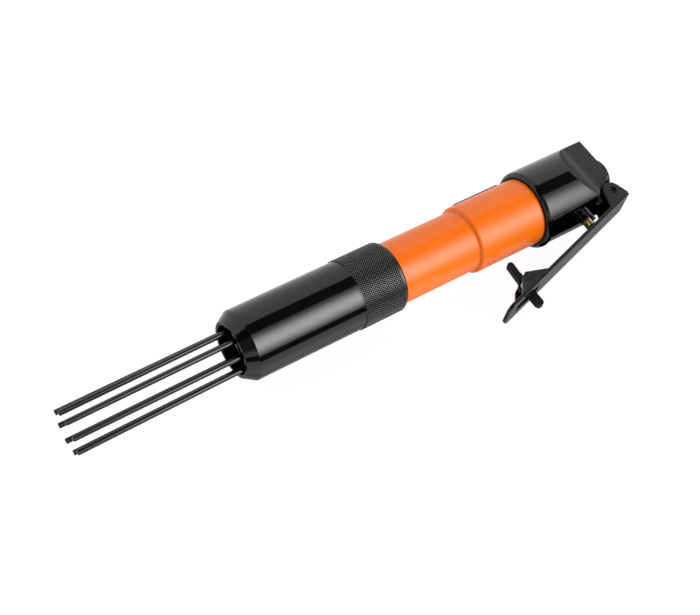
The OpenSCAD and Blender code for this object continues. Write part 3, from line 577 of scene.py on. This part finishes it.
class SCALER_OT_nozzle(bpy.types.Operator):
    """Turns the nozzle with its grip, and rolls the diamond knurl on the grip"""

    bl_idname = "scaler.nozzle"
    bl_label = "Nozzle and grip"

    def execute(self, context):
        sizes = context.scene.scaler_sizes
        opening_r, rim_r, tube_r, grip_r, bore_r = 14.1, 16.0, 20.0, 20.5, 16.0
        taper_len, grip_len, bevel, knurl_gap = 6.3, 28.6, 1.2, 0.2
        valley, grip_front = grip_r - sizes.knurl_height / MM, GRIP_REAR_X - grip_len
        tube = turned(rounded([
            (NOSE_X, opening_r, 0.5), (NOSE_X, rim_r, 0.6), (NOSE_X + taper_len, tube_r, 0.8),
            (grip_front, tube_r, 0.08), (grip_front, valley, 0.05), (GRIP_REAR_X - bevel, valley, 0.15),
            (GRIP_REAR_X, grip_r - bevel, 0.3), (GRIP_REAR_X, bore_r, 0), (SPRING_SEAT_X, bore_r, 0),
            (SPRING_SEAT_X, opening_r, 0.4),
        ]))
        settle(tube, "nozzle_tube", "root", "gloss_black", "gloss_black", "front_housing", degrees=20)
        knurl = self.knurl(sizes, grip_front + knurl_gap, GRIP_REAR_X - bevel - knurl_gap, valley)
        settle(knurl, "grip_knurl", "root", "knurl_black", "gloss_black", degrees=1)
        return {"FINISHED"}

    @staticmethod
    def knurl(sizes, front, rear, radius):
        """A band of blunt diamonds round the axis."""
        flank = 0.3 * MM
        select_only(None)
        bpy.ops.mesh.primitive_cylinder_add(
            vertices=sizes.knurl_count, radius=radius * MM, depth=(rear - front) * MM,
            end_fill_type="NOTHING", location=((front + rear) / 2 * MM, 0, 0), rotation=(0, math.pi / 2, 0))
        bpy.ops.object.transform_apply()
        obj = bpy.context.object
        bpy.ops.object.mode_set(mode="EDIT")
        pick(obj, edge=lambda e: abs(e.verts[0].co.x - e.verts[1].co.x) > MM)
        bpy.ops.mesh.subdivide(number_cuts=sizes.knurl_rows - 1)
        corners = len(bmesh.from_edit_mesh(obj.data).verts)
        bpy.ops.mesh.select_all(action="SELECT")
        bpy.ops.mesh.poke()
        pick(obj, edge=lambda e: max(v.index for v in e.verts) < corners and len(e.link_faces) == 2)
        bpy.ops.mesh.dissolve_edges(use_verts=False)
        pick(obj, face=lambda f: len(f.verts) == 4)
        bpy.ops.mesh.inset(thickness=flank, depth=sizes.knurl_height, use_individual=True)
        bpy.ops.object.mode_set(mode="OBJECT")
        return obj


class SCALER_OT_needles(bpy.types.Operator):
    """Turns one needle with a bevelled tip and an upset head, and copies it into the holder"""

    bl_idname = "scaler.needles"
    bl_label = "Needles"

    def execute(self, context):
        length, radius, head_len, head_r, end_zone = 175.0, 1.5, 3.0, 2.4, 0.2 * MM
        pattern = turned(rounded([
            (-length, 0, 0), (-length, radius, 0.3), (-head_len, radius, 0.4), (-head_len, head_r, 0.25),
            (0, head_r, 0.5), (0, 0, 0),
        ]), 40)
        for name in NEEDLES:
            corners = [v.co for v in NODES[name].data.vertices]
            tip_x, head_x = min(c.x for c in corners), max(c.x for c in corners)
            tip = self.middle(c for c in corners if c.x < tip_x + end_zone)
            head = self.middle(c for c in corners if c.x > head_x - end_zone)
            select_only(pattern)
            bpy.ops.object.duplicate()
            needle = bpy.context.object
            turn = Vector((-1, 0, 0)).rotation_difference(tip - head)
            needle.matrix_world = Matrix.Translation(head) @ turn.to_matrix().to_4x4()
            bpy.ops.object.transform_apply()
            settle(needle, "steel_" + name, name, "needle_steel", "needle_steel", name, degrees=40)
        bpy.data.objects.remove(pattern)
        return {"FINISHED"}

    @staticmethod
    def middle(points):
        """The middle of the box round some points."""
        points = list(points)
        return Vector([(min(p[i] for p in points) + max(p[i] for p in points)) / 2 for i in range(3)])


class SCALER_OT_barrel(bpy.types.Operator):
    """Turns the barrel with its rounded step, and mills the exhaust's pocket"""

    bl_idname = "scaler.barrel"
    bl_label = "Barrel"

    def execute(self, context):
        front_r, rear_r, bore_r, bush_r = 18.0, 20.0, 11.0, 10.04
        front_thread_r, rear_thread_r = 15.95, 17.95
        rear_len, rear_thread_len, bush_len = 42.7, 10.0, 20.0
        step_x = HEAD_FRONT_X - rear_len
        step_start, step_end = step_x - 3.0, step_x - 2.2
        lip_x, bush_x = BARREL_REAR_X - rear_thread_len, BARREL_FRONT_X + bush_len
        barrel = turned(rounded([
            (BARREL_FRONT_X, bush_r, 0), (BARREL_FRONT_X, front_thread_r, 0),
            (GRIP_REAR_X, front_thread_r, 0), (GRIP_REAR_X, front_r, 0.3),
            (step_start, front_r, 0.6), (step_end, rear_r, 1.5),
            (lip_x, rear_r, 0), (lip_x, rear_thread_r, 0), (BARREL_REAR_X, rear_thread_r, 0),
            (BARREL_REAR_X, bore_r, 0), (bush_x, bore_r, 0), (bush_x, bush_r, 0),
        ], 6))
        pocket_ahead, pocket_z, pocket_sizes = 1.5, 18.4, (31, 17, 6)
        pocket_x = HEAD_FRONT_X - rear_len / 2 - pocket_ahead
        select_only(None)
        bpy.ops.mesh.primitive_cube_add(size=MM)
        pocket = bpy.context.object
        pocket.matrix_world = (
            LYING @ moved(pocket_x * MM, 0, pocket_z * MM) @ Matrix.Diagonal((*pocket_sizes, 1))
        )
        bpy.ops.object.transform_apply()
        combine(barrel, "DIFFERENCE", pocket)
        settle(barrel, "painted_barrel", "root", "orange_paint", "orange_paint", "barrel", degrees=28)
        return {"FINISHED"}


class SCALER_OT_head(bpy.types.Operator):
    """Turns the throttle head, mills its flats and bores, and rounds the air inlet and the valve's plug"""

    bl_idname = "scaler.head"
    bl_label = "Head and inlet"

    def execute(self, context):
        front, rear = HEAD_FRONT_X, HEAD_REAR_X
        lip_r, thread_r, inlet_r, air_r = 20.3, 18.0, 8.0, 4.0
        lip_cover, stack_len, shank_len = 2.0, 7.6, 14.0
        seat, socket, shank = front + lip_cover, BARREL_REAR_X + stack_len, rear - shank_len
        head = turned(rounded([
            (front, lip_r, 0.4), (front, HEAD_R, 2.8), (rear, HEAD_R, 0), (rear, inlet_r, 0),
            (shank, inlet_r, 0), (shank, air_r, 0), (PLUNGER_X, air_r, 0), (PLUNGER_X, 0, 0),
            (socket, 0, 0), (socket, thread_r, 0), (seat, thread_r, 0), (seat, lip_r, 0),
        ], 6))
        combine(head, "DIFFERENCE", *self.flats(front, rear))
        boss_r, boss_len, boss_sunk = 3.6, 4.0, 2.0
        boss_ring = ring_of(PLUNGER_X, 0, boss_r, BORE_STEPS)
        boss = slab(boss_ring, boss_len + boss_sunk, LYING @ moved(0, 0, -FLAT_DROP - boss_len))
        combine(head, "UNION", self.lug(), boss)
        bevelled(head, 0.45, 14)
        combine(head, "DIFFERENCE", *self.bores())
        settle(head, "enamelled_head", "root", "gloss_black", "gloss_black", "head", degrees=34)
        inlet = softened("inlet_bush", 0.25)
        settle(inlet, "inlet_boss", "root", "gloss_black", "gloss_black", "inlet_bush")
        plug = softened("valve_plug", 0.3)
        settle(plug, "hex_plug", "root", "dark_steel", "dark_steel", "valve_plug")
        return {"FINISHED"}

    @staticmethod
    def flats(front, rear):
        """Cutters for the lever's flat, the side flats with their run-outs, and the room for the ears."""
        past, lip_len = 5.0, 3.5
        half_w, strip_w, strip_rise, deep = 10.5, 30, 5.2, 50
        strip_z = strip_rise - FLAT_DROP
        under = [
            (-strip_w, -deep), (strip_w, -deep), (strip_w, strip_z),
            (half_w, -FLAT_DROP), (-half_w, -FLAT_DROP), (-strip_w, strip_z),
        ]
        along = Matrix(((0, 0, 1, front + lip_len), (1, 0, 0, 0), (0, 1, 0, 0), (0, 0, 0, 1)))
        yield slab(under, rear + past - front - lip_len, LYING @ along)

        side_w, side_len, bend = 13.7, 28.3, 12
        slope, start = math.tan(math.radians(37)), rear - side_len
        profile = [
            (start - HEAD_R / slope, 2 * HEAD_R, 0), (start + (HEAD_R - side_w) / slope, side_w, bend),
            (rear + past, side_w, 0), (rear + past, 2 * HEAD_R, 0),
        ]
        for mirror in (1, -1):
            outline = [(x, mirror * y) for x, y in rounded(profile, 10)]
            yield slab(outline, 4 * HEAD_R, LYING @ moved(0, 0, -2 * HEAD_R))

        relief_r, relief_back, relief_drop, relief_w, lug_half_w = 31.0, 10.5, 21.7, 24, 6
        relief = ring_of(HINGE_X + relief_back, -HINGE_DROP - relief_drop, relief_r, ROUND_STEPS)
        for from_y in (-lug_half_w - relief_w, lug_half_w):
            yield slab(relief, relief_w, LYING @ SIDEWAYS @ moved(0, 0, from_y))

    @staticmethod
    def lug():
        """The lug that the lever turns on."""
        radius, reach, rise, width = 5.4, 9.8, 7.8, 12
        first, step, count = -90, 6, 18
        angles = (math.radians(first + step * i) for i in range(count))
        arc = [(radius * math.cos(a), radius * math.sin(a)) for a in angles]
        outline = [(-reach, HINGE_DROP - FLAT_DROP), *arc, (0, rise), (-reach, rise)]
        hinge = LYING @ moved(HINGE_X, 0, -HINGE_DROP) @ SIDEWAYS
        return slab(outline, width, hinge @ moved(0, 0, -width / 2))

    @staticmethod
    def bores():
        """Cutters for the bores of the throttle, the stop pin and the lever's pin."""
        plunger = (PLUNGER_X, 3.04, -30, -13.2)
        ball_seat = (PLUNGER_X, 3.25, -14, -5)
        chamber = (PLUNGER_X, 6.0, -6, 14)
        plug = (PLUNGER_X, 8.0, 12, 30)
        stop = (STOP_X, 1.25, -30, -12.6)
        for x, radius, low, high in (plunger, ball_seat, chamber, plug, stop):
            yield slab(ring_of(x, 0, radius, BORE_STEPS), high - low, LYING @ moved(0, 0, low))
        pin = ring_of(HINGE_X, -HINGE_DROP, HINGE_PIN_R)
        yield slab(pin, THROUGH, LYING @ SIDEWAYS @ moved(0, 0, -THROUGH / 2))


class SCALER_OT_lever(bpy.types.Operator):
    """Presses the lever from plate, and rounds the catch, the pins and the throttle's plunger"""

    bl_idname = "scaler.lever"
    bl_label = "Lever and catch"

    def execute(self, context):
        lever = self.lever(context.scene.scaler_sizes.lever_edge)
        settle(lever, "pressed_lever", "lever", "lever_black", "lever_black", "lever")
        catch = softened("safety_catch", 0.4, segments=3)
        settle(catch, "lever_catch", "catch", "catch_black", "lever_black", "safety_catch")
        rivet = softened("catch_pin", 0.25, 40)
        settle(rivet, "catch_rivet", "lever", "lever_black", "lever_black", "catch_pin")
        pin_place = LEVER_FRAME @ moved(0, 0, -HINGE_PIN_HALF)
        pin = slab(ring_of(0, 0, HINGE_PIN_R), 2 * HINGE_PIN_HALF, pin_place)
        bevelled(pin, 0.4, 40)
        settle(pin, "hinge_rivet", "root", "dark_steel", "dark_steel", "lever_pin")
        peg = softened("lever_stop_pin", 0.3, 40)
        settle(peg, "stop_peg", "root", "bright_steel", "bright_steel", "lever_stop_pin")
        plunger = softened("throttle_plunger", 0.15, 30)
        settle(plunger, "brass_plunger", "throttle", "brass", "brass", "throttle_plunger")
        return {"FINISHED"}

    def lever(self, edge):
        """A pressed plate with two ears round the pin and two gussets round the catch."""
        inner, outer, half_w, rear, tip = 6.4, 8.6, 9.0, -6.6, 112.3
        rear_round, tip_round, sharp = 1.5, 5, 35
        upright = LEVER_FRAME @ SIDEWAYS @ moved(0, 0, -outer)
        plan = rounded([
            (rear, -half_w, rear_round), (tip, -half_w, tip_round),
            (tip, half_w, tip_round), (rear, half_w, rear_round),
        ], 8)
        plate = slab(plan, outer - inner, upright)
        slot_rear, slot_tip, slot_w, cut_len, cut_under = 82.7, 103.6, 3.7, 20, 5
        slot = [(slot_rear, -slot_w), (slot_tip, -slot_w), (slot_tip, slot_w), (slot_rear, slot_w)]
        combine(plate, "DIFFERENCE", slab(slot, cut_len, upright @ moved(0, 0, -cut_under)))
        bevelled(plate, edge, sharp)

        ear_r, ear_foot, ear_t, ear_hole_r, sink_r, sink_len = 6.0, 11.0, 2.7, 2.04, 2.6, 7
        sunk, arc_steps = inner + 1.0, 24
        lean = math.atan2(inner, ear_foot) - math.acos(ear_r / math.hypot(inner, ear_foot))
        angles = (-math.pi + (math.pi + lean) * i / arc_steps for i in range(arc_steps + 1))
        arc = [(ear_r * math.cos(a), ear_r * math.sin(a)) for a in angles]
        ear = [(rear, sunk), *arc, (ear_foot, inner), (ear_foot, sunk)]
        for from_z, sink_z in ((half_w - ear_t, HINGE_PIN_HALF), (-half_w, -HINGE_PIN_HALF - sink_len)):
            holes = [
                (ring_of(0, 0, ear_hole_r), THROUGH, -THROUGH / 2),
                (ring_of(0, 0, sink_r), sink_len, sink_z),
            ]
            combine(plate, "UNION", self.wing(ear, ear_t, from_z, holes, edge, sharp))

        gusset_t, gusset_edge, catch_hole_r = 2.2, 0.7 * edge, 1.5
        foot_rear, foot_tip, top_rear, top_tip = 74.5, 98.9, (86.3, -1.2), (89.7, -0.4)
        gusset = [
            (foot_rear, inner), top_rear, top_tip, (foot_tip, inner), (foot_tip, sunk), (foot_rear, sunk),
        ]
        for from_z in (half_w - gusset_t, -half_w):
            holes = [(ring_of(CATCH_REACH, CATCH_W, catch_hole_r), THROUGH, -THROUGH / 2)]
            combine(plate, "UNION", self.wing(gusset, gusset_t, from_z, holes, gusset_edge, sharp))
        return plate

    @staticmethod
    def wing(outline, depth, from_z, holes, edge, sharp):
        """A plate that stands on the lever, with its holes and rounded edges."""
        wing = slab(outline, depth, LEVER_FRAME @ moved(0, 0, from_z))
        for ring, length, start in holes:
            combine(wing, "DIFFERENCE", slab(ring, length, LEVER_FRAME @ moved(0, 0, start)))
        bevelled(wing, edge, sharp)
        return wing


class SCALER_OT_exhaust(bpy.types.Operator):
    """Rounds the edges of the exhaust's cover and its screws"""

    bl_idname = "scaler.exhaust"
    bl_label = "Exhaust"

    def execute(self, context):
        cover = softened("exhaust_cover", 0.3)
        settle(cover, "vent_cover", "root", "lever_black", "gloss_black", "exhaust_cover")
        screws = softened("cover_screws", 0.15, 30)
        settle(screws, "vent_screws", "root", "bright_steel", "bright_steel", "cover_screws")
        return {"FINISHED"}


class SCALER_OT_springs(bpy.types.Operator):
    """Winds the needle spring, the valve's spring and the catch's spring from round wire"""

    bl_idname = "scaler.springs"
    bl_label = "Springs"

    def execute(self, context):
        seat_x, holder_x = SPRING_SEAT_X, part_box("needle_holder")[0].x / MM
        diameter, wire, turns = 29.8, 1.6, 9
        along = moved(seat_x, 0, 0) @ rotated(90, "Y")
        needle = wound(coil(diameter, wire, holder_x - seat_x, turns, along), wire * MM)
        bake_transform(needle)
        settle(needle, "needle_coil", "root", "bright_steel", "bright_steel", "needle_spring")

        ball_top, plug_end = 0.47, 12.0
        diameter, wire, turns = 6.2, 0.9, 5
        upright = LYING @ moved(PLUNGER_X, 0, ball_top)
        valve = wound(coil(diameter, wire, plug_end - ball_top, turns, upright), wire * MM)
        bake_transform(valve)
        settle(valve, "valve_coil", "root", "bright_steel", "bright_steel", "valve_spring")

        wire = 0.8
        path = self.catch_path()
        catch = wound([CATCH_FRAME @ at * MM for at in path], wire * MM)
        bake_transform(catch)
        settle(catch, "catch_coil", "lever", "bright_steel", "bright_steel", "catch_spring")
        return {"FINISHED"}

    @staticmethod
    def catch_path():
        """The catch's spring: one leg behind the arm, the turns round the pin, one leg on the plate."""
        lean, radius, leg, low, pitch = math.radians(19), 2.65, 9.0, -0.7, 1.25
        arm = Vector((-math.sin(lean), -math.cos(lean), 0))
        start = radius * Vector((arm.y, -arm.x, 0))
        first = math.atan2(start.y, start.x)
        sweep, steps = math.pi / 2 - first + 4 * math.pi, 96
        path = [start + leg * arm + Vector((0, 0, low))]
        for i in range(steps + 1):
            turn = sweep * i / steps
            height = low + pitch * turn / (2 * math.pi)
            path.append(Vector((radius * math.cos(first + turn), radius * math.sin(first + turn), height)))
        path.append(Vector((-leg, radius, height)))
        return path


class SCALER_OT_workings(bpy.types.Operator):
    """Gives the pieces inside the tool their metal, rubber and felt"""

    bl_idname = "scaler.workings"
    bl_label = "Workings"

    def execute(self, context):
        slots = {row["node"]: row["material_slot"] for row in frame["record"]["subparts"]}
        for name, node in NODES.items():
            for slot in node.material_slots:
                slot.material = finish_named(slots[name])
        return {"FINISHED"}


class SCALER_OT_stage(bpy.types.Operator):
    """Sets the floor, the studio's light and the camera"""

    bl_idname = "scaler.stage"
    bl_label = "Studio"

    def execute(self, context):
        stage = context.scene.scaler_stage
        select_only(None)
        floor_z = CAD_BOX[0][2]
        bpy.ops.mesh.primitive_grid_add(x_subdivisions=4, y_subdivisions=4, size=6, location=(0, 0, floor_z))
        floor = context.object
        floor.name = "floor"
        colour = tuple(stage.floor_colour)
        paper = surface(
            "floor_paper", colour, lambda f: f.varied(0.05, 3.0, 0.6, 0.7),
            emission_color=(1, 1, 1, 1), emission_strength=stage.floor_glow,
        )
        floor.data.materials.append(paper)
        floor.visible_glossy = False
        # Painted shadow: a black card that only reflections see, standing for the shaded floor under the head
        # and lever.
        self.card()
        self.light(context, stage)
        self.camera(context, stage)
        return {"FINISHED"}

    @staticmethod
    def card():
        """A black card between the head and the lever, on the far side, which only reflections see: painted
        shadow, a dark sheet where the floor under the head and lever lies in shade.
        """
        rear, front, top, rear_low, front_low, far, thickness = 0, -62.0, -20.5, -23.0, -38.5, 9.7, 0.2
        outline = [(rear, top), (rear, rear_low), (front, front_low), (front, top)]
        # Painted shadow: this dark sheet stands for the shade on the floor under the head and lever, as the
        # head's flat mirrors it.
        card = slab(outline, thickness, LYING @ SIDEWAYS @ moved(0, 0, -far))
        card.name = "painted_shadow_card"
        black = surface(
            "painted_shadow_black", (0, 0, 0), lambda f: f.varied(0.05, 3.0, 0.9, 1.0), specular_ior_level=0.0,
        )
        card.data.materials.append(black)
        card.visible_camera = card.visible_diffuse = card.visible_shadow = card.visible_transmission = False

    @staticmethod
    def light(context, stage):
        """White walls with a soft front light, and dark parts all round: places in degrees about the axis."""
        world = bpy.data.worlds.new("studio")
        world.use_nodes = True
        context.scene.world = world
        f = Finish(world.node_tree)
        way = f.node("ShaderNodeTexCoord", output="Generated")
        along = f.node("ShaderNodeSeparateXYZ", None, {0: way}, "X")
        round_axis = f.vector("NORMALIZE", f.vector("MULTIPLY", way, (0, 1, 1)))

        def towards(degrees, outer, inner, kind="SMOOTHSTEP"):
            """1 within inner degrees of a direction round the tool's axis, 0 beyond outer degrees."""
            turn = math.radians(degrees)
            near = f.vector("DOT_PRODUCT", round_axis, (0, math.cos(turn), math.sin(turn)), output="Value")
            return f.ramp(near, math.cos(math.radians(outer)), math.cos(math.radians(inner)), kind=kind)

        overhead, gap = 0.95 * towards(99, 19, 15), 0.97 * towards(197, 11, 8)
        below, behind = 0.6 * towards(290, 50, 15), 0.7 * towards(335, 60, 30) * f.ramp(along, 0.6, 0.8)
        photographer = f.vector("DOT_PRODUCT", way, (-0.55, -0.56, 0.62), output="Value")
        shade = 0.85 * f.ramp(photographer, 0.8, 0.93)
        walls = stage.walls * (1 - overhead) * (1 - gap) * (1 - below) * (1 - behind) * (1 - shade)
        window = f.ramp(along, 0.15, 0.3) * (1 - f.ramp(along, 0.44, 0.76))
        glow = towards(154, 36, 0, "LINEAR")
        light = walls + stage.softbox * glow * glow * window
        seen = f.node("ShaderNodeLightPath", output="Is Camera Ray")
        matt = f.node("ShaderNodeLightPath", output="Is Diffuse Ray")
        strength = light * (1 + stage.fill * matt) * (1 - seen) + seen
        background = world.node_tree.nodes["Background"]
        f.tree.links.new(strength.socket, background.inputs["Strength"])
        background.inputs["Color"].default_value = (1, 1, 1, 1)

    @staticmethod
    def camera(context, stage):
        """The photograph's camera."""
        select_only(None)
        bpy.ops.object.camera_add(location=stage.camera_place)
        camera = context.object
        elevation, roll, azimuth = stage.camera_turn
        camera.matrix_world = (
            moved(*stage.camera_place)
            @ Matrix.Rotation(-azimuth, 4, "Z")
            @ Matrix.Rotation(math.pi / 2 - elevation, 4, "X")
            @ Matrix.Rotation(roll, 4, "Z")
        )
        camera.data.sensor_fit, camera.data.sensor_width = "HORIZONTAL", SENSOR_W
        camera.data.lens = stage.lens
        camera.data.clip_start, camera.data.clip_end = 0.01, 50
        context.scene.camera = camera
        context.scene.view_settings.view_transform = "Standard"


class SCALER_PT_pieces(bpy.types.Panel):
    """The tool's settings, and a button for each of its pieces and its studio"""

    bl_idname = "SCALER_PT_pieces"
    bl_label = "Needle scaler"
    bl_space_type = "VIEW_3D"
    bl_region_type = "UI"
    bl_category = "Needle scaler"

    def draw(self, context):
        for group in ("scaler_paint", "scaler_sizes", "scaler_stage"):
            settings = getattr(context.scene, group)
            for name in settings.__annotations__:
                self.layout.prop(settings, name)
        for operator in OPERATORS:
            self.layout.operator(operator.bl_idname)


OPERATORS = (
    SCALER_OT_workings, SCALER_OT_nozzle, SCALER_OT_needles, SCALER_OT_barrel, SCALER_OT_head,
    SCALER_OT_lever, SCALER_OT_exhaust, SCALER_OT_springs, SCALER_OT_stage,
)
SETTINGS = {"scaler_paint": ScalerPaint, "scaler_sizes": ScalerSizes, "scaler_stage": ScalerStage}


def register():
    for kind in (*SETTINGS.values(), *OPERATORS, SCALER_PT_pieces):
        bpy.utils.register_class(kind)
    for name, kind in SETTINGS.items():
        setattr(bpy.types.Scene, name, bpy.props.PointerProperty(type=kind))


def unregister():
    for name in SETTINGS:
        delattr(bpy.types.Scene, name)
    for kind in (SCALER_PT_pieces, *reversed(OPERATORS), *SETTINGS.values()):
        bpy.utils.unregister_class(kind)


def main():
    register()
    bpy.ops.scaler.workings()
    bpy.ops.scaler.nozzle()
    bpy.ops.scaler.needles()
    bpy.ops.scaler.barrel()
    bpy.ops.scaler.head()
    bpy.ops.scaler.lever()
    bpy.ops.scaler.exhaust()
    bpy.ops.scaler.springs()
    bpy.ops.scaler.stage()


if __name__ == "__main__":
    main()
